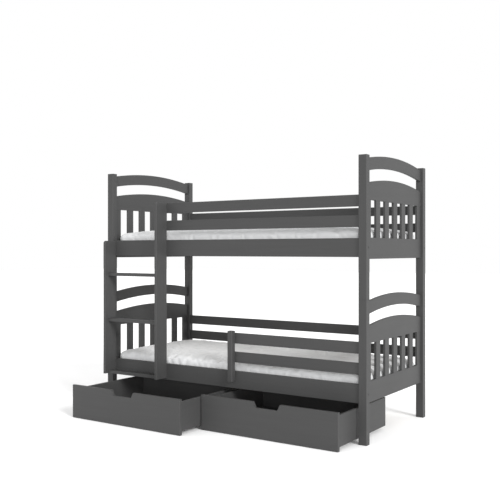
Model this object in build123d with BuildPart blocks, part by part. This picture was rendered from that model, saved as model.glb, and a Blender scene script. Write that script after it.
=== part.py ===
from build123d import *
import math
import os

os.makedirs("parts", exist_ok=True)

# A bunk bed for two 1900 x 800 mm mattresses, with two drawers on castors pulled out in front.
# X runs along the bed, -Y is the front, +Z is up, and all sizes are in millimetres.
# The origin lies on the floor, under the middle of the whole object with its drawers out.

# Mattresses, which set the length and the width of the bed
mattress_length = 1900
mattress_width = 800
mattress_height = 92
mattress_crown = 34
mattress_crown_inset_share = 0.325
mattress_corner_share = 0.075
mattress_edge_height = 22
mattress_edge_inset = 16
mattress_waist_inset = 7
mattress_end_gap = 6
mattress_side_gap = 15.5
soft_clearance = 0.3
edge_steps = 4
crown_steps = 6

# Posts, each in two halves that stand on one another
post_length = 50
post_width = 41
half_height = 811
post_round = 2
post_top_round = 2
post_end_chamfer = 1

# Side rails
rail_thickness = 22
rail_height = 107
rail_setback = 11
lower_rail_bottom = 228.5
upper_rail_above_joint = 238
board_round = 2

# End panels, the same four times
end_setback = 17
end_thickness = 17
end_rail_bottom = 227
end_rail_height = 121
head_panel_height = 129.2
arch_gap = 67.2
arch_height = 72.6
arch_below_post_top = 16
arch_radius = 2300
arch_chamfer = 1.5
slat_thickness = 15
slat_width = 56
slat_pitch = 125
slat_count = 5
edge_slat_width = 57
slat_tenon = 12
slat_round = 2

# Guard boards
guard_thickness = 19
guard_height = 66
upper_back_guard_height = 59
lower_guard_gap = 54
lower_guard_pitch = 117.5
upper_front_guard_gap = 62.5
upper_front_guard_pitch = 115.5
upper_back_guard_gap = 49
upper_back_guard_pitch = 114

# Upright that ends the lower guard boards
upright_width = 36
upright_depth = 35.5
upright_x = 75
upright_bottom = 273
upright_above_guard = 14
upright_round = 4

# Ladder
stile_thickness = 19
stile_depth = 104
stile_bottom = 242
left_stile_drop = 3
stile_corner = 18
tread_length = 441.5
tread_depth = 47
tread_thickness = 21
tread_setback = 28.5
second_tread_rise = 357
third_tread_rise = 670

# Slatted bases
ledger_size = 25
ledger_end_gap = 10
lower_ledger_lift = 11.5
upper_ledger_lift = 13.5
bed_slat_width = 70
bed_slat_thickness = 18
bed_slat_end_inset = 70
bed_slat_count = 13
bed_slat_end_gap = 2

# Dowels, bolts with barrel nuts, and screws
dowel_radius = 4
dowel_length = 40
dowel_clearance = 0.1
dowel_end_gap = 0.5
stile_dowel_depth = 12
post_dowel_spacing = 24
tread_dowel_spacing = 24
bolt_radius = 4
bolt_head_radius = 7.5
bolt_head_height = 3
bolt_socket_width = 5
bolt_socket_depth = 2
bolt_recess = 0.5
bolt_clearance = 0.2
bolt_tip_length = 6
barrel_nut_radius = 7
barrel_nut_length = 16
barrel_nut_inset = 35
barrel_nut_wall = 4
screw_radius = 2.25
screw_head_radius = 4.25
screw_length = 40
screw_tip_length = 6
screw_clearance = 0.1
screw_recess = 0.3
ledger_screw_count = 5
rail_screw_shares = (0.67, 0.87)
end_rail_dowel_shares = (0.25, 0.75)

# Drawers
left_drawer_post_gap = 33
right_drawer_post_gap = 18
drawer_gap = 7
drawer_gap_x = -7.5
drawer_depth = 622
left_drawer_pull = 414.8
right_drawer_pull = 221.7
drawer_front_bottom = 3
drawer_front_height = 211
drawer_front_thickness = 18
left_drawer_box_inset = 53
right_drawer_box_inset = 42
drawer_side_thickness = 16
drawer_side_height = 173.5
drawer_bottom_thickness = 6
drawer_bottom_lift = 9
left_notch_offset = -14.5
right_notch_offset = 3
notch_top_width = 184
notch_bottom_width = 150
notch_depth = 35
notch_round = 8
notch_overrun = 10

# Castors
wheel_radius = 15
wheel_width = 14
wheel_round = 2
axle_radius = 2.5
axle_clearance = 0.05
wheel_side_gap = 0.5
cheek_thickness = 2
cheek_half_width = 8
castor_plate_length = 40
castor_plate_width = 50
castor_plate_thickness = 2
castor_height = 35
castor_side_inset = 80
castor_end_inset = 60

# Planes and edges that the pieces share
bed_length = mattress_length + 2 * (mattress_end_gap + end_thickness + end_setback)
bed_width = mattress_width + 2 * (mattress_side_gap + rail_thickness + rail_setback)
post_outer_x = bed_length / 2
post_inner_x = post_outer_x - post_length
post_x = post_outer_x - post_length / 2
post_outer_y = bed_width / 2
post_inner_y = post_outer_y - post_width
post_y = post_outer_y - post_width / 2
upper_rail_bottom = half_height + upper_rail_above_joint
rail_face_y = post_outer_y - rail_setback
rail_inner_y = rail_face_y - rail_thickness
rail_y = rail_face_y - rail_thickness / 2
guard_inner_y = rail_face_y - guard_thickness
guard_y = rail_face_y - guard_thickness / 2
panel_x = post_outer_x - end_setback - end_thickness / 2
bed_centre_y = (rail_face_y + left_drawer_pull - post_outer_y) / 2

stile_front_y = -rail_face_y - stile_depth
left_stile_x = -post_inner_x
right_stile_x = left_stile_x + stile_thickness + tread_length
upright_front_y = -rail_face_y - upright_depth

dowel_hole_radius = dowel_radius + dowel_clearance
half_dowel_hole = dowel_length / 2 + dowel_end_gap
bolt_hole_radius = bolt_radius + bolt_clearance
bolt_head_seat = bolt_head_height + bolt_recess
bolt_length = post_length - bolt_head_seat + barrel_nut_inset + barrel_nut_radius + bolt_tip_length

sides = {"front": -1, "back": 1}
ends = {"left": -1, "right": 1}
bases = {"lower": 0, "upper": half_height}
rail_bottoms = {"lower": lower_rail_bottom, "upper": upper_rail_bottom}
ledger_lifts = {"lower": lower_ledger_lift, "upper": upper_ledger_lift}


def guard_bottoms(level, side):
    """Heights of the undersides of the two guard boards of one side of one bed."""
    if level == "lower":
        gap, pitch = lower_guard_gap, lower_guard_pitch
    elif side == "front":
        gap, pitch = upper_front_guard_gap, upper_front_guard_pitch
    else:
        gap, pitch = upper_back_guard_gap, upper_back_guard_pitch
    first = rail_bottoms[level] + rail_height + gap
    return (first, first + pitch)


def guard_board_height(level, side):
    """The height of each guard board of one side of one bed."""
    if level == "upper" and side == "back":
        return upper_back_guard_height
    return guard_height


def guard_left_x(level, side):
    """Where the guard boards of one side start: at a post, the ladder or the guard upright."""
    if side == "back":
        return -post_inner_x
    if level == "upper":
        return right_stile_x
    return upright_x - upright_width / 2


def arch_drop(y):
    """How far an arched edge lies under its peak at a distance y from the middle."""
    return arch_radius - math.sqrt(arch_radius**2 - y**2)


# Heights in an end panel, from the foot of its posts
end_drop = arch_drop(post_inner_y)
slot_bottom = end_rail_bottom + end_rail_height
arch_top_peak = half_height - arch_below_post_top + end_drop
arch_bottom_peak = arch_top_peak - arch_height
head_peak = arch_bottom_peak - arch_gap
slot_top = head_peak - head_panel_height
head_dowel_height = (slot_top + head_peak - end_drop) / 2
arch_dowel_height = (arch_bottom_peak + arch_top_peak) / 2 - end_drop
panel_dowel_heights = [end_rail_bottom + share * end_rail_height for share in end_rail_dowel_shares]
panel_dowel_heights += [head_dowel_height, arch_dowel_height]

# Heights in the ladder
upper_guard_top = guard_bottoms("upper", "front")[1] + guard_height
lower_guard_top = guard_bottoms("lower", "front")[1] + guard_height
left_stile_top = upper_rail_bottom + rail_height - left_stile_drop
tread_bottoms = [stile_bottom, stile_bottom + second_tread_rise, stile_bottom + third_tread_rise]
tread_y = stile_front_y + tread_setback + tread_depth / 2


def seat(x, y, z, outward):
    """A plane on a joint's face. Its x and y count from the middle of the bed."""
    return Plane(origin=(x, bed_centre_y + y, z), z_dir=outward)


def box(x_span, y_span, z_span):
    """A box between three pairs of limits, in the part that is being built."""
    lengths = [span[1] - span[0] for span in (x_span, y_span, z_span)]
    middle = [sum(span) / 2 for span in (x_span, y_span, z_span)]
    with Locations((middle[0], bed_centre_y + middle[1], middle[2])):
        Box(*lengths)


def span_between(a, b):
    """Two limits in rising order."""
    return (min(a, b), max(a, b))


def save(piece, label):
    """Labels a finished piece and writes its file."""
    piece.part.label = label
    export_step(piece.part, f"parts/{label}.step")


# Places of the dowels: each is a point on a joint's face, the face's direction,
# and how far the dowel's middle lies along that direction
def post_joint_dowels(end, side):
    """Two dowels that hold the upper half of a post on the lower half."""
    spread = post_dowel_spacing / 2
    return [seat(end * post_x + dx, side * post_y, half_height, (0, 0, 1)) for dx in (-spread, spread)]


def panel_dowels(end, side, base):
    """Dowels from an end panel's boards into one of its posts."""
    heights = [base + height for height in panel_dowel_heights]
    return [seat(end * panel_x, side * post_inner_y, z, (0, -side, 0)) for z in heights]


def guard_dowels(end, side_name, level):
    """Dowels from the guard boards of one side into the post at one end."""
    if side_name == "front" and end < 0:
        return []
    half_board = guard_board_height(level, side_name) / 2
    heights = [bottom + half_board for bottom in guard_bottoms(level, side_name)]
    return [seat(end * post_inner_x, sides[side_name] * guard_y, z, (-end, 0, 0)) for z in heights]


def tread_dowels(face_x, outward):
    """Dowels from the treads into one stile, which take less depth in the stile."""
    offsets = (-tread_dowel_spacing / 2, tread_dowel_spacing / 2)
    return [
        seat(face_x, tread_y + dy, bottom + tread_thickness / 2, (outward, 0, 0))
        for bottom in tread_bottoms
        for dy in offsets
    ]


left_tread_face = left_stile_x + stile_thickness
right_tread_face = right_stile_x


def rail_screws(x, level):
    """Screws from the inner face of a front rail out into a stile or the guard upright."""
    heights = [rail_bottoms[level] + share * rail_height for share in rail_screw_shares]
    return [seat(x, -rail_inner_y, z, (0, 1, 0)) for z in heights]


def guard_screws(x, level):
    """Screws from the inner faces of the front guard boards out into an upright piece."""
    heights = [bottom + guard_height / 2 for bottom in guard_bottoms(level, "front")]
    return [seat(x, -guard_inner_y, z, (0, 1, 0)) for z in heights]


def ledger_screws(level, side):
    """Screws from a ledger's inner face into its side rail."""
    pitch = 2 * post_inner_x / ledger_screw_count
    first = -post_inner_x + pitch / 2
    z = rail_bottoms[level] + ledger_lifts[level] + ledger_size / 2
    y = side * (rail_inner_y - ledger_size)
    return [seat(first + i * pitch, y, z, (0, -side, 0)) for i in range(ledger_screw_count)]


left_stile_screw_x = left_stile_x + stile_thickness / 2
right_stile_screw_x = right_stile_x + stile_thickness / 2
left_stile_screws = rail_screws(left_stile_screw_x, "lower") + rail_screws(left_stile_screw_x, "upper")
right_stile_screws = rail_screws(right_stile_screw_x, "lower") + rail_screws(right_stile_screw_x, "upper")
right_stile_guard_screws = guard_screws(right_stile_screw_x, "upper")
upright_screws = rail_screws(upright_x, "lower")[:1]
upright_guard_screws = guard_screws(upright_x, "lower")


def drill_dowels(seats, depth=half_dowel_hole):
    """Dowel holes in the part that is being built."""
    if seats:
        with Locations(*seats):
            Hole(dowel_hole_radius, depth=depth)


def drill_screws(seats, countersunk=True):
    """Screw holes, countersunk in the piece that holds the head."""
    radius = screw_radius + screw_clearance
    head = screw_head_radius + screw_clearance + screw_recess
    for place in seats:
        with Locations(place):
            if countersunk:
                CounterSinkHole(radius, head, depth=screw_length + screw_recess)
            else:
                Hole(radius, depth=screw_length + screw_recess)


# Posts
def make_post(end_name, side_name, level):
    """Half a post, with the holes for its dowels and for the bolt of its side rail."""
    end, side, base = ends[end_name], sides[side_name], bases[level]
    rail_middle = rail_bottoms[level] + rail_height / 2
    with BuildPart() as post:
        box(
            span_between(end * post_inner_x, end * post_outer_x),
            span_between(side * post_inner_y, side * post_outer_y),
            (base, base + half_height),
        )
        fillet(post.edges().filter_by(Axis.Z), post_round)
        foot, top = post.faces().sort_by(Axis.Z)[0], post.faces().sort_by(Axis.Z)[-1]
        if level == "upper":
            chamfer(foot.edges(), post_end_chamfer)
            fillet(top.edges(), post_top_round)
        else:
            chamfer(foot.edges() + top.edges(), post_end_chamfer)
        drill_dowels(post_joint_dowels(end, side))
        drill_dowels(panel_dowels(end, side, base))
        drill_dowels(guard_dowels(end, side_name, level))
        with Locations(seat(end * post_outer_x, side * rail_y, rail_middle, (end, 0, 0))):
            CounterBoreHole(
                bolt_hole_radius,
                bolt_head_radius + bolt_clearance,
                bolt_head_seat,
                depth=post_length,
            )
    save(post, f"post_{side_name}_{end_name}_{level}")


for level in bases:
    for side_name in sides:
        for end_name in ends:
            make_post(end_name, side_name, level)


# Side rails
def make_rail(side_name, level):
    """A side rail, with bolt and barrel nut holes at its ends and the screw holes it holds."""
    side, bottom = sides[side_name], rail_bottoms[level]
    middle = bottom + rail_height / 2
    nut_depth = rail_thickness - barrel_nut_wall
    bolt_depth = barrel_nut_inset + barrel_nut_radius + bolt_tip_length + dowel_end_gap
    with BuildPart() as rail:
        box(
            (-post_inner_x, post_inner_x),
            span_between(side * rail_inner_y, side * rail_face_y),
            (bottom, bottom + rail_height),
        )
        fillet(rail.edges().filter_by(Axis.X), board_round)
        for end in ends.values():
            with Locations(seat(end * post_inner_x, side * rail_y, middle, (end, 0, 0))):
                Hole(bolt_hole_radius, depth=bolt_depth)
            nut_x = end * (post_inner_x - barrel_nut_inset)
            with Locations(seat(nut_x, side * rail_inner_y, middle, (0, -side, 0))):
                Hole(barrel_nut_radius + dowel_clearance, depth=nut_depth)
        drill_screws(ledger_screws(level, side), countersunk=False)
        if side_name == "front":
            stile_x = (left_stile_screw_x, right_stile_screw_x)
            for x in stile_x:
                drill_screws(rail_screws(x, level))
            if level == "lower":
                drill_screws(upright_screws)
    save(rail, f"side_rail_{side_name}_{level}")


for level in bases:
    for side_name in sides:
        make_rail(side_name, level)


# End panels
slat_places = [(index - (slat_count - 1) / 2) * slat_pitch for index in range(slat_count)]
slat_spans = [(y - slat_width / 2, y + slat_width / 2) for y in slat_places]
slat_spans += [(-post_inner_y, edge_slat_width - post_inner_y), (post_inner_y - edge_slat_width, post_inner_y)]


def panel_span(end, thickness):
    """The x limits of an end panel's board, on the middle of the panel."""
    return (end * panel_x - thickness / 2, end * panel_x + thickness / 2)


def mortises(end, z_span):
    """Sockets for the slats' tenons, in the part that is being built."""
    for span in slat_spans:
        lengths = (slat_thickness, span[1] - span[0], z_span[1] - z_span[0])
        with Locations((end * panel_x, bed_centre_y + sum(span) / 2, sum(z_span) / 2)):
            Box(*lengths, mode=Mode.SUBTRACT)


def arched_board(end, base, bottom, top_peak, bottom_arched):
    """The outline of a board with an arched top edge, and an arched or a straight bottom edge."""
    plane = Plane(origin=(end * panel_x, bed_centre_y, base), x_dir=(0, 1, 0), z_dir=(1, 0, 0))
    left, right = -post_inner_y, post_inner_y
    with BuildSketch(plane) as outline:
        with BuildLine():
            ThreePointArc((left, top_peak - end_drop), (0, top_peak), (right, top_peak - end_drop))
            if bottom_arched:
                ThreePointArc((left, bottom - end_drop), (0, bottom), (right, bottom - end_drop))
                Line((left, bottom - end_drop), (left, top_peak - end_drop))
                Line((right, bottom - end_drop), (right, top_peak - end_drop))
            else:
                Polyline(
                    (left, top_peak - end_drop),
                    (left, bottom),
                    (right, bottom),
                    (right, top_peak - end_drop),
                )
        make_face()
    return outline


def make_end_panel(end_name, level):
    """The end rail, the head panel and the arch rail of one end of one bed."""
    end, base = ends[end_name], bases[level]
    dowels = panel_dowels(end, -1, base) + panel_dowels(end, 1, base)

    with BuildPart() as end_rail:
        box(
            panel_span(end, end_thickness),
            (-post_inner_y, post_inner_y),
            (base + end_rail_bottom, base + slot_bottom),
        )
        fillet(end_rail.edges().filter_by(Axis.Y), board_round)
        mortises(end, (base + slot_bottom - slat_tenon, base + slot_bottom))
        drill_dowels([place for place in dowels if place.origin.Z < base + slot_bottom])
    save(end_rail, f"end_rail_{end_name}_{level}")

    head_outline = arched_board(end, base, slot_top, head_peak, bottom_arched=False)
    with BuildPart() as head_panel:
        extrude(head_outline.sketch, amount=end_thickness / 2, both=True)
        chamfer(head_panel.edges().filter_by(GeomType.CIRCLE), arch_chamfer)
        mortises(end, (base + slot_top, base + slot_top + slat_tenon))
        drill_dowels([place for place in dowels if slot_top < place.origin.Z - base < head_peak])
    save(head_panel, f"head_panel_{end_name}_{level}")

    arch_outline = arched_board(end, base, arch_bottom_peak, arch_top_peak, bottom_arched=True)
    with BuildPart() as arch_rail:
        extrude(arch_outline.sketch, amount=end_thickness / 2, both=True)
        chamfer(arch_rail.edges().filter_by(GeomType.CIRCLE), arch_chamfer)
        drill_dowels([place for place in dowels if place.origin.Z - base > head_peak])
    save(arch_rail, f"arch_rail_{end_name}_{level}")


for level in bases:
    for end_name in ends:
        make_end_panel(end_name, level)


def make_end_slats(level):
    """The upright slats in both end panels of one bed, with their tenons."""
    base = bases[level]
    with BuildPart() as slats:
        for end in ends.values():
            for span in slat_spans:
                z_span = (base + slot_bottom - slat_tenon, base + slot_top + slat_tenon)
                box(panel_span(end, slat_thickness), span, z_span)
        fillet(slats.edges().filter_by(Axis.Z), slat_round)
    save(slats, f"end_slats_{level}")


for level in bases:
    make_end_slats(level)


# Guard boards
def make_guard(side_name, level):
    """The two guard boards of one side of one bed."""
    side = sides[side_name]
    x_span = (guard_left_x(level, side_name), post_inner_x)
    y_span = span_between(side * guard_inner_y, side * rail_face_y)
    with BuildPart() as guard:
        for bottom in guard_bottoms(level, side_name):
            box(x_span, y_span, (bottom, bottom + guard_board_height(level, side_name)))
        fillet(guard.edges().filter_by(Axis.X), board_round)
        for end in ends.values():
            drill_dowels(guard_dowels(end, side_name, level))
        if side_name == "front":
            drill_screws(right_stile_guard_screws if level == "upper" else upright_guard_screws)
    save(guard, f"guard_boards_{side_name}_{level}")


for level in bases:
    for side_name in sides:
        make_guard(side_name, level)

with BuildPart() as guard_upright:
    box(
        (upright_x - upright_width / 2, upright_x + upright_width / 2),
        (upright_front_y, -rail_face_y),
        (upright_bottom, lower_guard_top + upright_above_guard),
    )
    fillet(guard_upright.edges().filter_by(Axis.Z), upright_round)
    fillet(guard_upright.faces().sort_by(Axis.Z)[-1].edges(), board_round)
    drill_screws(upright_screws + upright_guard_screws, countersunk=False)
save(guard_upright, "guard_upright")


# Ladder
def make_stile(label, left_x, top, tread_face, outward, screws):
    """A ladder side with one rounded top corner, dowel holes for the treads and screw holes."""
    with BuildPart() as stile:
        box((left_x, left_x + stile_thickness), (stile_front_y, -rail_face_y), (stile_bottom, top))
        crosswise = stile.edges().filter_by(Axis.X)
        top_front = crosswise.group_by(Axis.Z)[-1].sort_by(Axis.Y)[0]
        fillet(top_front, stile_corner)
        upright_edges = stile.edges().filter_by(Axis.Z)
        fillet(upright_edges, board_round)
        drill_dowels(tread_dowels(tread_face, outward), depth=stile_dowel_depth + dowel_end_gap)
        drill_screws(screws, countersunk=False)
    save(stile, label)


make_stile("ladder_stile_left", left_stile_x, left_stile_top, left_tread_face, 1, left_stile_screws)
make_stile(
    "ladder_stile_right",
    right_stile_x,
    upper_guard_top,
    right_tread_face,
    -1,
    right_stile_screws + right_stile_guard_screws,
)

with BuildPart() as treads:
    for bottom in tread_bottoms:
        box(
            (left_tread_face, right_tread_face),
            (tread_y - tread_depth / 2, tread_y + tread_depth / 2),
            (bottom, bottom + tread_thickness),
        )
    fillet(treads.edges().filter_by(Axis.X), board_round)
    tread_hole_depth = dowel_length - stile_dowel_depth + dowel_end_gap
    drill_dowels(tread_dowels(left_tread_face, 1), depth=tread_hole_depth)
    drill_dowels(tread_dowels(right_tread_face, -1), depth=tread_hole_depth)
save(treads, "ladder_treads")

# Ledgers on the side rails, and the slats that lie on them
with BuildPart() as ledgers:
    for level in bases:
        ledger_bottom = rail_bottoms[level] + ledger_lifts[level]
        for side in sides.values():
            box(
                (ledger_end_gap - post_inner_x, post_inner_x - ledger_end_gap),
                span_between(side * (rail_inner_y - ledger_size), side * rail_inner_y),
                (ledger_bottom, ledger_bottom + ledger_size),
            )
            drill_screws(ledger_screws(level, side))
save(ledgers, "slat_ledgers")

slat_tops = {}
bed_slat_pitch = 2 * (post_inner_x - bed_slat_end_inset) / (bed_slat_count - 1)
with BuildPart() as bed_slats:
    for level in bases:
        slat_bottom = rail_bottoms[level] + ledger_lifts[level] + ledger_size
        slat_tops[level] = slat_bottom + bed_slat_thickness
        for index in range(bed_slat_count):
            x = (index - (bed_slat_count - 1) / 2) * bed_slat_pitch
            box(
                (x - bed_slat_width / 2, x + bed_slat_width / 2),
                (bed_slat_end_gap - rail_inner_y, rail_inner_y - bed_slat_end_gap),
                (slat_bottom, slat_tops[level]),
            )
    fillet(bed_slats.edges().filter_by(Axis.Y), board_round)
save(bed_slats, "bed_slats")


# Mattresses: sides drawn in at half height, rolled edges and a crowned top
def mattress_profile():
    """How far each section of a mattress lies above its underside, and how far it is drawn in."""
    crown_inset = mattress_crown_inset_share * mattress_width
    profile = []
    for step in range(edge_steps + 1):
        angle = math.pi / 2 * step / edge_steps
        lift = mattress_edge_height * (1 - math.cos(angle))
        inset = mattress_edge_inset * (1 - math.sin(angle))
        profile.append((lift, inset))
    profile.append((mattress_height / 2, mattress_waist_inset))
    upper_edge = [(mattress_height - lift, inset) for lift, inset in reversed(profile[:-1])]
    profile += upper_edge
    for step in range(1, crown_steps + 1):
        share = step / crown_steps
        lift = mattress_height + mattress_crown * (1 - (1 - share) ** 2)
        inset = mattress_edge_inset + (crown_inset - mattress_edge_inset) * share
        profile.append((lift, inset))
    return profile


def make_mattress(level):
    """A soft mattress that lies on the bed slats of one bed."""
    bottom = slat_tops[level] + soft_clearance
    with BuildPart() as mattress:
        for lift, inset in mattress_profile():
            with BuildSketch(Plane(origin=(0, bed_centre_y, bottom + lift))):
                RectangleRounded(
                    mattress_length - 2 * inset,
                    mattress_width - 2 * inset,
                    mattress_corner_share * mattress_width,
                )
        loft(ruled=True)
    save(mattress, f"mattress_{level}")


for level in bases:
    make_mattress(level)

# Dowels, the same size everywhere
centred_seats = []
for side_name, side in sides.items():
    for end in ends.values():
        centred_seats += post_joint_dowels(end, side)
        for level, base in bases.items():
            centred_seats += panel_dowels(end, side, base)
            centred_seats += guard_dowels(end, side_name, level)
tread_shift = dowel_length / 2 - stile_dowel_depth
tread_seats = [place.offset(tread_shift) for place in tread_dowels(left_tread_face, 1)]
tread_seats += [place.offset(tread_shift) for place in tread_dowels(right_tread_face, -1)]

with BuildPart() as dowels:
    with Locations(*centred_seats, *tread_seats):
        Cylinder(dowel_radius, dowel_length)
save(dowels, "dowels")

# Bolts through the posts into barrel nuts in the side rails
bolt_seats = []
nut_seats = []
for level in bases:
    bolt_z = rail_bottoms[level] + rail_height / 2
    for side in sides.values():
        for end in ends.values():
            bolt_x = end * (post_outer_x - bolt_recess)
            bolt_seats.append(seat(bolt_x, side * rail_y, bolt_z, (end, 0, 0)))
            nut_x = end * (post_inner_x - barrel_nut_inset)
            nut_y = side * (rail_inner_y + (rail_thickness - barrel_nut_wall) / 2)
            nut_seats.append(seat(nut_x, nut_y, bolt_z, (0, side, 0)))

with BuildPart() as rail_bolts:
    with Locations(*bolt_seats):
        with Locations((0, 0, -bolt_head_height / 2)):
            Cylinder(bolt_head_radius, bolt_head_height)
        with Locations((0, 0, -bolt_head_height - bolt_length / 2)):
            Cylinder(bolt_radius, bolt_length)
    for place in bolt_seats:
        with BuildSketch(place):
            RegularPolygon(bolt_socket_width / 2, side_count=6, major_radius=False)
        extrude(amount=-bolt_socket_depth, mode=Mode.SUBTRACT)
save(rail_bolts, "rail_bolts")

with BuildPart() as barrel_nuts:
    with Locations(*nut_seats):
        Cylinder(barrel_nut_radius, barrel_nut_length)
    for place in bolt_seats:
        with Locations(place):
            Hole(bolt_hole_radius, depth=bolt_length + bolt_head_height)
save(barrel_nuts, "barrel_nuts")

# Countersunk screws, the same size everywhere
screw_seats = left_stile_screws + right_stile_screws + right_stile_guard_screws
screw_seats += upright_screws + upright_guard_screws
for level in bases:
    for side in sides.values():
        screw_seats += ledger_screws(level, side)

screw_taper = screw_head_radius - screw_radius
with BuildPart() as one_screw:
    with BuildSketch(Plane.XZ):
        with BuildLine():
            Polyline(
                (0, -screw_recess),
                (screw_head_radius, -screw_recess),
                (screw_radius, -screw_recess - screw_taper),
                (screw_radius, screw_tip_length - screw_length),
                (0, -screw_length),
                close=True,
            )
        make_face()
    revolve(axis=Axis.Z)

with BuildPart() as screws:
    with Locations(*screw_seats):
        add(one_screw.part)
save(screws, "screws")


# Drawers
def make_drawer(name, x_span, pull, box_inset, notch_offset):
    """A drawer on four castors, pulled out from under the bed."""
    left_x, right_x = x_span
    front_y = -rail_face_y - pull
    front_back_y = front_y + drawer_front_thickness
    box_left_x = left_x + box_inset
    inner_left_x = box_left_x + drawer_side_thickness
    inner_right_x = right_x - drawer_side_thickness
    rear_y = front_y + drawer_depth
    inner_rear_y = rear_y - drawer_side_thickness
    side_bottom = castor_height - drawer_bottom_lift
    side_top = side_bottom + drawer_side_height
    front_top = drawer_front_bottom + drawer_front_height
    notch_x = (left_x + right_x) / 2 + notch_offset

    with BuildPart() as front:
        box((left_x, right_x), (front_y, front_back_y), (drawer_front_bottom, front_top))
        fillet(front.faces().sort_by(Axis.Y)[0].edges(), board_round)
        notch_plane = Plane(
            origin=(notch_x, bed_centre_y + front_y - notch_overrun, front_top),
            x_dir=(1, 0, 0),
            z_dir=(0, -1, 0),
        )
        with BuildSketch(notch_plane) as notch:
            with BuildLine():
                Polyline(
                    (-notch_top_width / 2, 0),
                    (-notch_bottom_width / 2, -notch_depth),
                    (notch_bottom_width / 2, -notch_depth),
                    (notch_top_width / 2, 0),
                    (notch_top_width / 2, notch_overrun),
                    (-notch_top_width / 2, notch_overrun),
                    close=True,
                )
            make_face()
            fillet(notch.vertices().group_by(Axis.Y)[0], notch_round)
        notch_reach = drawer_front_thickness + 2 * notch_overrun
        extrude(amount=-notch_reach, mode=Mode.SUBTRACT)
    save(front, f"{name}_front")

    with BuildPart() as box_sides:
        for x_span in ((box_left_x, inner_left_x), (inner_right_x, right_x)):
            box(x_span, (front_back_y, rear_y), (side_bottom, side_top))
        fillet(box_sides.edges().filter_by(Axis.Y), board_round)
    save(box_sides, f"{name}_sides")

    with BuildPart() as box_back:
        box((inner_left_x, inner_right_x), (inner_rear_y, rear_y), (side_bottom, side_top))
        fillet(box_back.edges().filter_by(Axis.X), board_round)
    save(box_back, f"{name}_back")

    with BuildPart() as box_bottom:
        box(
            (inner_left_x, inner_right_x),
            (front_back_y, inner_rear_y),
            (castor_height, castor_height + drawer_bottom_thickness),
        )
    save(box_bottom, f"{name}_bottom")

    castor_places = {
        "front_left": (box_left_x + castor_side_inset, front_back_y + castor_end_inset),
        "front_right": (right_x - castor_side_inset, front_back_y + castor_end_inset),
        "back_left": (box_left_x + castor_side_inset, rear_y - castor_end_inset),
        "back_right": (right_x - castor_side_inset, rear_y - castor_end_inset),
    }
    make_castors(name, castor_places)


def make_castors(name, places):
    """Fork brackets with their axle pins under a drawer, and a wheel in each."""
    fork_half = wheel_width / 2 + wheel_side_gap
    plate_bottom = castor_height - castor_plate_thickness
    with BuildPart() as brackets:
        for x, y in places.values():
            box(
                (x - castor_plate_length / 2, x + castor_plate_length / 2),
                (y - castor_plate_width / 2, y + castor_plate_width / 2),
                (plate_bottom, castor_height),
            )
            for cheek_x in (x - fork_half - cheek_thickness, x + fork_half):
                side_plane = Plane(
                    origin=(cheek_x, bed_centre_y + y, wheel_radius),
                    x_dir=(0, 1, 0),
                    z_dir=(1, 0, 0),
                )
                with BuildSketch(side_plane):
                    Circle(cheek_half_width)
                    with Locations((0, (plate_bottom - wheel_radius) / 2)):
                        Rectangle(2 * cheek_half_width, plate_bottom - wheel_radius)
                    Circle(axle_radius + axle_clearance, mode=Mode.SUBTRACT)
                extrude(amount=cheek_thickness)
        for x, y in places.values():
            with Locations(seat(x, y, wheel_radius, (1, 0, 0))):
                Cylinder(axle_radius, 2 * (fork_half + cheek_thickness))
    save(brackets, f"{name}_castor_forks")

    for corner, (x, y) in places.items():
        with BuildPart() as wheel:
            with Locations(seat(x, y, wheel_radius, (1, 0, 0))):
                Cylinder(wheel_radius, wheel_width)
            fillet(wheel.edges(), wheel_round)
            with Locations(seat(x, y, wheel_radius, (1, 0, 0))):
                Hole(axle_radius + axle_clearance)
        save(wheel, f"{name}_wheel_{corner}")


left_drawer_span = (-post_inner_x + left_drawer_post_gap, drawer_gap_x - drawer_gap / 2)
right_drawer_span = (drawer_gap_x + drawer_gap / 2, post_inner_x - right_drawer_post_gap)
make_drawer("left_drawer", left_drawer_span, left_drawer_pull, left_drawer_box_inset, left_notch_offset)
make_drawer("right_drawer", right_drawer_span, right_drawer_pull, right_drawer_box_inset, right_notch_offset)
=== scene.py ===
import math

import bmesh
import bpy
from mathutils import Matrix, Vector, noise


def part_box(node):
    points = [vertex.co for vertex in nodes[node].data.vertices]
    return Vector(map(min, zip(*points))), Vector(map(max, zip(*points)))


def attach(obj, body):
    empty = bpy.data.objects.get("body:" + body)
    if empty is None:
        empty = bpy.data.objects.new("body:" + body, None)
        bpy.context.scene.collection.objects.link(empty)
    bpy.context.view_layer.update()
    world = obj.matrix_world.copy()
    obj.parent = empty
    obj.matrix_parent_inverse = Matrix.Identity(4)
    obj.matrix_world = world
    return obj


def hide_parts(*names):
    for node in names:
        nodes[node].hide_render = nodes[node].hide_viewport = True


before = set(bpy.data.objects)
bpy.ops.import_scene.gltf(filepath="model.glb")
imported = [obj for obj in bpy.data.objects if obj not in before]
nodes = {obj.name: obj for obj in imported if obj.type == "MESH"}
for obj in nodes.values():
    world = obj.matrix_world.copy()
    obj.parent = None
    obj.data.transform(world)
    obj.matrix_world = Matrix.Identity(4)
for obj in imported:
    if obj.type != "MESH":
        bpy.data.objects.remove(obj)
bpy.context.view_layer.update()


# Material helpers
# The sockets of a Mix node that blends colours
MIX_FACTOR = 0
MIX_FIRST = 6
MIX_SECOND = 7
MIX_RESULT = 2


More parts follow.
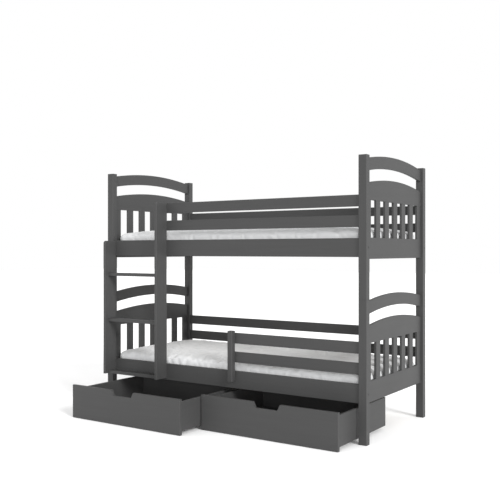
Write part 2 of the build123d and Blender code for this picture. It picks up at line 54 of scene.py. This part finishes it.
def new_material(name):
    """A node material, its texture place, and functions that add nodes and set its surface."""
    material = bpy.data.materials.new(name)
    material.use_nodes = True
    tree = material.node_tree
    tree.nodes.clear()
    output = tree.nodes.new("ShaderNodeOutputMaterial")
    shader = tree.nodes.new("ShaderNodeBsdfPrincipled")
    tree.links.new(shader.outputs["BSDF"], output.inputs["Surface"])

    def fill(node, values):
        """Links or sets a node's sockets, by index or by name with _ for a space."""
        for key, value in values.items():
            socket = node.inputs[key.replace("_", " ") if isinstance(key, str) else key]
            if isinstance(value, bpy.types.NodeSocket):
                tree.links.new(value, socket)
            else:
                socket.default_value = value

    def add(kind, settings=None, sockets=None, **inputs):
        """A node with its settings, and its sockets by index and by name."""
        node = tree.nodes.new(kind)
        for key, value in (settings or {}).items():
            setattr(node, key, value)
        fill(node, sockets or {})
        fill(node, inputs)
        return node

    def surface(**inputs):
        """Links or sets the shader's own sockets."""
        fill(shader, inputs)

    place = add("ShaderNodeTexCoord").outputs["Object"]
    return material, place, add, surface


def mix_colours(add, factor, first, second):
    """A blend of two colours by a factor."""
    sockets = {MIX_FACTOR: factor, MIX_FIRST: first, MIX_SECOND: second}
    return add("ShaderNodeMix", {"data_type": "RGBA"}, sockets).outputs[MIX_RESULT]


def grey(value, warmth=0.0):
    """A near-grey colour."""
    return (value * (1 + warmth), value, value * (1 - warmth), 1)


def shaded(colour, factor):
    """A colour made darker or lighter."""
    return tuple(channel * factor for channel in colour[:3]) + (1,)


def drawn_out(axis, along, across):
    """Texture scales that draw a pattern out along one axis."""
    return [along if letter == axis else across for letter in "xyz"]


# Materials
# Paint: its colours, and the grain's scale, wandering and bands
GRAPHITE = grey(0.042)
BOARD_GRAPHITE = grey(0.038)
GRAIN_ALONG = 2.6
GRAIN_ACROSS = 70.0
GRAIN_BEND = (0.8, 0.8, 0.8)
GRAIN_DARK = 0.95
GRAIN_LIGHT = 1.04

# Bare pine: its colours, and the scale of its year rings and fibres
PINE_EARLY = (0.64, 0.56, 0.44, 1)
PINE_LATE = (0.5, 0.4, 0.28, 1)
PINE_FIBRE = (0.58, 0.5, 0.39, 1)
RING_ALONG = 0.9
RING_ACROSS = 26.0
RING_COUNT = 9.0
RING_FOLD = 1.0
FIBRE_ALONG = 6.0
FIBRE_ACROSS = 240.0

# The darkest and lightest tones of the other materials
STEEL_DARK = grey(0.035)
STEEL_LIGHT = grey(0.075)
PLASTIC_DARK = grey(0.03)
PLASTIC_LIGHT = grey(0.06)
COTTON_DARK = grey(0.5, -0.008)
COTTON_LIGHT = grey(0.55, -0.008)
FLOOR_DARK = grey(0.94)
FLOOR_LIGHT = grey(0.96)


def painted_wood(name, grain_axis, colour):
    """Satin paint over sanded pine: a faint grain along one axis, under a fine roller texture."""
    material, place, add, surface = new_material(name)
    stretch = drawn_out(grain_axis, GRAIN_ALONG, GRAIN_ACROSS)
    along = add("ShaderNodeMapping", Vector=place, Scale=stretch).outputs["Vector"]
    warp = add("ShaderNodeTexNoise", Vector=place, Scale=3.0, Detail=2.0).outputs["Color"]
    bend = {0: warp, 1: GRAIN_BEND, 2: along}
    bent = add("ShaderNodeVectorMath", {"operation": "MULTIPLY_ADD"}, bend).outputs["Vector"]
    noisy = add("ShaderNodeTexNoise", Vector=bent, Scale=1.0, Detail=6.0, Roughness=0.62)
    grain = noisy.outputs["Fac"]
    patches = add("ShaderNodeTexNoise", Vector=place, Scale=2.2, Detail=3.0).outputs["Fac"]
    roller = add("ShaderNodeTexNoise", Vector=place, Scale=520.0, Detail=2.0).outputs["Fac"]
    tone = add("ShaderNodeMapRange", Value=grain, From_Min=0.3, From_Max=0.7).outputs["Result"]
    rough = add("ShaderNodeMapRange", Value=patches, To_Min=0.46, To_Max=0.58).outputs["Result"]
    fine = add("ShaderNodeBump", Strength=0.12, Distance=0.0002, Height=roller).outputs["Normal"]
    raised = add("ShaderNodeBump", Strength=0.16, Distance=0.0004, Height=grain, Normal=fine)
    surface(
        Base_Color=mix_colours(add, tone, shaded(colour, GRAIN_DARK), shaded(colour, GRAIN_LIGHT)),
        Roughness=rough,
        Specular_IOR_Level=0.27,
        Normal=raised.outputs["Normal"],
    )
    return material


def bare_pine(name, grain_axis):
    """Planed, uncoated pine with its darker late wood."""
    material, place, add, surface = new_material(name)
    ring_scale = drawn_out(grain_axis, RING_ALONG, RING_ACROSS)
    along = add("ShaderNodeMapping", Vector=place, Scale=ring_scale).outputs["Vector"]
    broad = add("ShaderNodeTexNoise", Vector=along, Scale=1.0, Detail=3.0, Distortion=0.6)
    count = {0: broad.outputs["Fac"], 1: RING_COUNT}
    rings = add("ShaderNodeMath", {"operation": "MULTIPLY"}, count).outputs["Value"]
    fold = {0: rings, 1: RING_FOLD}
    saw = add("ShaderNodeMath", {"operation": "PINGPONG"}, fold).outputs["Value"]
    late = add("ShaderNodeMapRange", {"interpolation_type": "SMOOTHSTEP"}, Value=saw, From_Min=0.45)
    fibre_scale = drawn_out(grain_axis, FIBRE_ALONG, FIBRE_ACROSS)
    across = add("ShaderNodeMapping", Vector=place, Scale=fibre_scale).outputs["Vector"]
    fibre = add("ShaderNodeTexNoise", Vector=across, Scale=1.0, Detail=4.0).outputs["Fac"]
    wood = mix_colours(add, late.outputs["Result"], PINE_EARLY, PINE_LATE)
    bump = add("ShaderNodeBump", Strength=0.2, Distance=0.0003, Height=fibre)
    surface(
        Base_Color=mix_colours(add, fibre, wood, PINE_FIBRE),
        Roughness=0.62,
        Normal=bump.outputs["Normal"],
    )
    return material


def dark_steel(name):
    """Blackened steel with a slightly uneven finish."""
    material, place, add, surface = new_material(name)
    mottle = add("ShaderNodeTexNoise", Vector=place, Scale=160.0, Detail=4.0).outputs["Fac"]
    rough = add("ShaderNodeMapRange", Value=mottle, To_Min=0.3, To_Max=0.48).outputs["Result"]
    shade = mix_colours(add, mottle, STEEL_DARK, STEEL_LIGHT)
    surface(Base_Color=shade, Roughness=rough, Metallic=0.85)
    return material


def castor_plastic(name):
    """Hard moulded plastic with fine scuffs where it rolls."""
    material, place, add, surface = new_material(name)
    scuffs = add("ShaderNodeTexNoise", Vector=place, Scale=420.0, Detail=5.0).outputs["Fac"]
    bump = add("ShaderNodeBump", Strength=0.15, Distance=0.0001, Height=scuffs)
    shade = mix_colours(add, scuffs, PLASTIC_DARK, PLASTIC_LIGHT)
    surface(Base_Color=shade, Roughness=0.5, Normal=bump.outputs["Normal"])
    return material


def woven_cotton(name):
    """White woven cotton: threads both ways, with slight slubs, a soft sheen and faint shading."""
    material, place, add, surface = new_material(name)
    threads = []
    for turn in (0.0, math.pi / 2):
        turned = add("ShaderNodeMapping", Vector=place, Rotation=(0.0, 0.0, turn))
        wave = add(
            "ShaderNodeTexWave",
            {"wave_type": "BANDS", "bands_direction": "X"},
            Vector=turned.outputs["Vector"],
            Scale=110.0,
            Distortion=1.2,
            Detail=2.0,
            Detail_Scale=3.0,
        )
        threads.append(wave.outputs["Fac"])
    weave = add("ShaderNodeMath", {"operation": "MAXIMUM"}, dict(enumerate(threads)))
    slubs = add("ShaderNodeTexNoise", Vector=place, Scale=38.0, Detail=3.0).outputs["Fac"]
    woven = add("ShaderNodeBump", Strength=0.2, Distance=0.0003, Height=weave.outputs["Value"])
    bumps = {"Height": slubs, "Normal": woven.outputs["Normal"]}
    slubbed = add("ShaderNodeBump", Strength=0.25, Distance=0.0008, **bumps)
    surface(
        Base_Color=mix_colours(add, slubs, COTTON_DARK, COTTON_LIGHT),
        Roughness=0.88,
        Sheen_Weight=0.25,
        Sheen_Roughness=0.5,
        Normal=slubbed.outputs["Normal"],
    )
    return material


def plain_floor(name):
    """A plain pale floor with the least unevenness."""
    material, place, add, surface = new_material(name)
    tone = add("ShaderNodeTexNoise", Vector=place, Scale=0.7, Detail=2.0).outputs["Fac"]
    shade = mix_colours(add, tone, FLOOR_DARK, FLOOR_LIGHT)
    surface(Base_Color=shade, Roughness=0.8, Specular_IOR_Level=0.1)
    return material


paint_along = {axis: painted_wood(f"graphite_paint_{axis}", axis, GRAPHITE) for axis in "xyz"}
board_paint = painted_wood("graphite_board", "x", BOARD_GRAPHITE)
pine = bare_pine("bare_pine", "y")
steel = dark_steel("dark_steel")
plastic = castor_plastic("castor_plastic")
cotton = woven_cotton("white_cotton")


def finish_for(label):
    """The material of a node by its name: paint grain runs along each board."""
    if label.startswith(("post_", "end_slats", "guard_upright", "ladder_stile")):
        return paint_along["z"]
    if label.startswith(("end_rail", "head_panel", "arch_rail")) or label.endswith("_sides"):
        return paint_along["y"]
    if label.startswith(("bed_slats", "dowels")):
        return pine
    if label.startswith(("rail_bolts", "barrel_nuts", "screws")) or label.endswith("_castor_forks"):
        return steel
    if "_wheel_" in label:
        return plastic
    if label.endswith("_bottom"):
        return board_paint
    return paint_along["x"]


SMOOTH_ANGLE = math.radians(35)
for label, node in nodes.items():
    node.data.materials.clear()
    node.data.materials.append(finish_for(label))
    node.data.shade_smooth()
    node.data.set_sharp_from_angle(angle=SMOOTH_ANGLE)


# Mattresses: a pillowy foam pad in a loose cotton cover
CORNER = 0.05
CORNER_STEPS = 10
CORNER_TURNS = ((1, 1), (-1, 1), (-1, -1), (1, -1))
# How much rounder the corners get where a ring is drawn in
CORNER_GROWTH = 0.35
# How high each ring lies over the underside, and how far it is drawn in
PAD_RINGS = (
    (0.0, 0.03),
    (0.004, 0.012),
    (0.016, 0.004),
    (0.045, 0.006),
    (0.068, 0.002),
    (0.084, 0.006),
    (0.094, 0.018),
    (0.102, 0.04),
    (0.109, 0.075),
    (0.115, 0.12),
    (0.119, 0.18),
    (0.122, 0.25),
    (0.124, 0.34),
)
QUAD = 4
VOXEL = 0.014
SUBDIVISIONS = 1

# The cover's waves: how close they lie along and across the bed, and their step between the
# two mattresses
GATHER_WAVES = (15.0, 4.0, 3.1)
PATCH_WAVES = (1.7, 1.2, 5.7)
END_WAVES = (2.0, 9.0, 2.3)
SLOW_WAVES = (3.0, 3.6, 7.9)
GATHER_HEIGHT = 0.012
END_HEIGHT = 0.006
SLOW_HEIGHT = 0.003
# Finer gathers lie in the gathers
FINE_GATHERS = 2.1
FINE_SHARE = 0.5
# How far the waves reach in from the long edges and from the ends
EDGE_REACH = 0.24
END_REACH = 0.2
# The waves start at this height over the underside and are whole a little further up
PUFF_START = 0.03
PUFF_RISE = 0.04

# The cover's cloth simulation: the lowest part is held fast, and the rest is held loosely
SETTLE_FRAMES = 20
SPARE_CLOTH = 0.035
HELD_HEIGHT = 0.012
LOOSE_HOLD = 0.3
MOST_SHIFT = 0.012
# How far the cover may stand proud of the plain CAD form
PROUD = 0.004
COVER_CLOTH = {
    "quality": 5,
    "mass": 0.3,
    "tension_stiffness": 8,
    "compression_stiffness": 8,
    "shear_stiffness": 4,
    "bending_stiffness": 0.15,
    "use_pressure": True,
    "uniform_pressure_force": 4,
    "vertex_group_mass": "held",
    "pin_stiffness": 0.6,
    "shrink_min": -SPARE_CLOTH,
    "shrink_max": -SPARE_CLOTH,
}


def ring_points(half_x, half_y, corner, z):
    """A rounded rectangle of points at one height."""
    points = []
    for quarter, (sx, sy) in enumerate(CORNER_TURNS):
        for step in range(CORNER_STEPS + 1):
            angle = math.pi / 2 * (quarter + step / CORNER_STEPS)
            x = sx * (half_x - corner) + corner * math.cos(angle)
            y = sy * (half_y - corner) + corner * math.sin(angle)
            points.append((x, y, z))
    return points


def pad_mesh(name, half):
    """The pad's closed form around its middle, from rings."""
    bm = bmesh.new()
    rings = []
    for lift, inset in PAD_RINGS:
        corner = CORNER + CORNER_GROWTH * inset
        points = ring_points(half.x - inset, half.y - inset, corner, -half.z + lift)
        rings.append([bm.verts.new(point) for point in points])
    count = len(rings[0])
    for lower, upper in zip(rings, rings[1:]):
        for index in range(count):
            after = (index + 1) % count
            bm.faces.new((lower[index], lower[after], upper[after], upper[index]))
    bm.faces.new(list(reversed(rings[0])))
    bm.faces.new(rings[-1])
    bmesh.ops.triangulate(bm, faces=[face for face in bm.faces if len(face.verts) > QUAD])
    mesh = bpy.data.meshes.new(name)
    bm.to_mesh(mesh)
    bm.free()
    return mesh


def even_faces(pad):
    """Gives the pad small faces of one size."""
    remesh = pad.modifiers.new("even_faces", "REMESH")
    remesh.mode = "VOXEL"
    remesh.voxel_size = VOXEL
    even = bpy.data.meshes.new_from_object(pad.evaluated_get(bpy.context.evaluated_depsgraph_get()))
    pad.modifiers.remove(remesh)
    pad.data = even
    even.name = pad.name


def noise_place(x, y, seed, waves):
    """Where a point of the cover lies in the noise of one kind of wave."""
    return Vector((x * waves[0], y * waves[1], seed * waves[2]))


def puff(x, y, half, seed):
    """How far the cover stands up: gathers at the long edges, waves at the ends, slow hollows."""
    edge = max(0.0, 1 - (half.y - abs(y)) / EDGE_REACH)
    end = max(0.0, 1 - (half.x - abs(x)) / END_REACH)
    where = noise_place(x, y, seed, GATHER_WAVES)
    gathers = noise.noise(where) + FINE_SHARE * noise.noise(where * FINE_GATHERS)
    patch = (1 + noise.noise(noise_place(x, y, seed, PATCH_WAVES))) / 2
    across = noise.noise(noise_place(x, y, seed, END_WAVES))
    slow = noise.noise(noise_place(x, y, seed, SLOW_WAVES))
    return GATHER_HEIGHT * gathers * edge * patch + END_HEIGHT * across * end + SLOW_HEIGHT * slow


def settle(pad, bottom):
    """Lets the loose cover settle over the pad in a cloth simulation, and keeps the result."""
    mesh = pad.data
    start = [vertex.co.copy() for vertex in mesh.vertices]
    held = pad.vertex_groups.new(name="held")
    for vertex in mesh.vertices:
        hold = 1.0 if vertex.co.z - bottom < HELD_HEIGHT else LOOSE_HOLD
        held.add([vertex.index], hold, "REPLACE")
    cloth = pad.modifiers.new("cover", "CLOTH")
    for key, value in COVER_CLOTH.items():
        setattr(cloth.settings, key, value)
    cloth.settings.effector_weights.gravity = 0
    cloth.collision_settings.use_collision = False
    cloth.point_cache.frame_end = SETTLE_FRAMES
    scene = bpy.context.scene
    for frame_number in range(1, SETTLE_FRAMES + 1):
        scene.frame_set(frame_number)
    settled = pad.evaluated_get(bpy.context.evaluated_depsgraph_get()).to_mesh()
    for vertex, moved, old in zip(mesh.vertices, settled.vertices, start):
        shift = moved.co - old
        if shift.length > MOST_SHIFT:
            shift *= MOST_SHIFT / shift.length
        vertex.co = old + shift
    pad.modifiers.remove(cloth)
    pad.vertex_groups.clear()
    scene.frame_set(1)


def within(value, low, high):
    """A value kept between two limits."""
    return max(low, min(high, value))


def build_mattress(level, seed):
    """A mattress in its cover, in place of the plain CAD form."""
    name = f"mattress_cover_{level}"
    low, high = (Vector(corner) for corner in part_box(f"mattress_{level}"))
    middle = (low + high) / 2
    half = (high - low) / 2
    pad = bpy.data.objects.new(name, pad_mesh(name, half))
    bpy.context.scene.collection.objects.link(pad)
    even_faces(pad)
    for vertex in pad.data.vertices:
        share = within((vertex.co.z + half.z - PUFF_START) / PUFF_RISE, 0.0, 1.0)
        vertex.co.z += share * puff(vertex.co.x, vertex.co.y, half, seed)
    settle(pad, -half.z)
    for vertex in pad.data.vertices:
        vertex.co.x = within(vertex.co.x, -half.x, half.x)
        vertex.co.y = within(vertex.co.y, -half.y - PROUD, half.y + PROUD)
        vertex.co.z = within(vertex.co.z, -half.z, half.z + PROUD)
        vertex.co += middle
    pad.data.materials.clear()
    pad.data.materials.append(cotton)
    pad.data.shade_smooth()
    subdivision = pad.modifiers.new("subdivision", "SUBSURF")
    subdivision.levels = SUBDIVISIONS
    subdivision.render_levels = SUBDIVISIONS
    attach(pad, "frame")
    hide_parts(f"mattress_{level}")


build_mattress("lower", seed=3)
build_mattress("upper", seed=8)


# Floor
FLOOR_HALF = 30
floor_mesh = bpy.data.meshes.new("floor")
floor_corners = [
    (x * FLOOR_HALF, y * FLOOR_HALF, 0) for x, y in ((-1, -1), (1, -1), (1, 1), (-1, 1))
]
floor_mesh.from_pydata(floor_corners, [], [(0, 1, 2, 3)])
floor = bpy.data.objects.new("floor", floor_mesh)
bpy.context.scene.collection.objects.link(floor)
floor_mesh.materials.append(plain_floor("pale_floor"))


# Light: an even white surround and two soft distant lights
SURROUND_COLOUR = (1, 1, 1, 1)
SURROUND_STRENGTH = 1.0
SPREAD = math.radians(20)

world = bpy.data.worlds.new("studio")
bpy.context.scene.world = world
world.use_nodes = True
surround = world.node_tree.nodes["Background"].inputs
surround["Color"].default_value = SURROUND_COLOUR
surround["Strength"].default_value = SURROUND_STRENGTH


def distant_light(name, azimuth, elevation, energy):
    """A soft light from far away; its azimuth turns from the right-hand end to the front."""
    turn = math.radians(azimuth)
    rise = math.radians(elevation)
    towards = Vector(
        (math.cos(turn) * math.cos(rise), -math.sin(turn) * math.cos(rise), math.sin(rise))
    )
    lamp = bpy.data.lights.new(name, "SUN")
    lamp.angle = SPREAD
    lamp.energy = energy
    light = bpy.data.objects.new(name, lamp)
    light.rotation_euler = towards.to_track_quat("Z", "Y").to_euler()
    bpy.context.scene.collection.objects.link(light)


distant_light("key", azimuth=20, elevation=25, energy=3.03)
distant_light("fill", azimuth=60, elevation=8, energy=1.4)


# Camera
SENSOR_WIDTH = 36
LENS = 54.288
SHIFT_UP = 0.00113
VIEW_DEPTH = 200
CAMERA_PLACE = (2.7843, -4.0804, 1.0856)
CAMERA_TURN = math.radians(33.8686)

camera_data = bpy.data.cameras.new("camera")
camera_data.sensor_width = SENSOR_WIDTH
camera_data.lens = LENS
camera_data.shift_y = SHIFT_UP
camera_data.clip_end = VIEW_DEPTH
camera = bpy.data.objects.new("camera", camera_data)
camera.location = CAMERA_PLACE
camera.rotation_euler = (math.pi / 2, 0, CAMERA_TURN)
bpy.context.scene.collection.objects.link(camera)
bpy.context.scene.camera = camera
bpy.context.scene.view_settings.view_transform = "Standard"
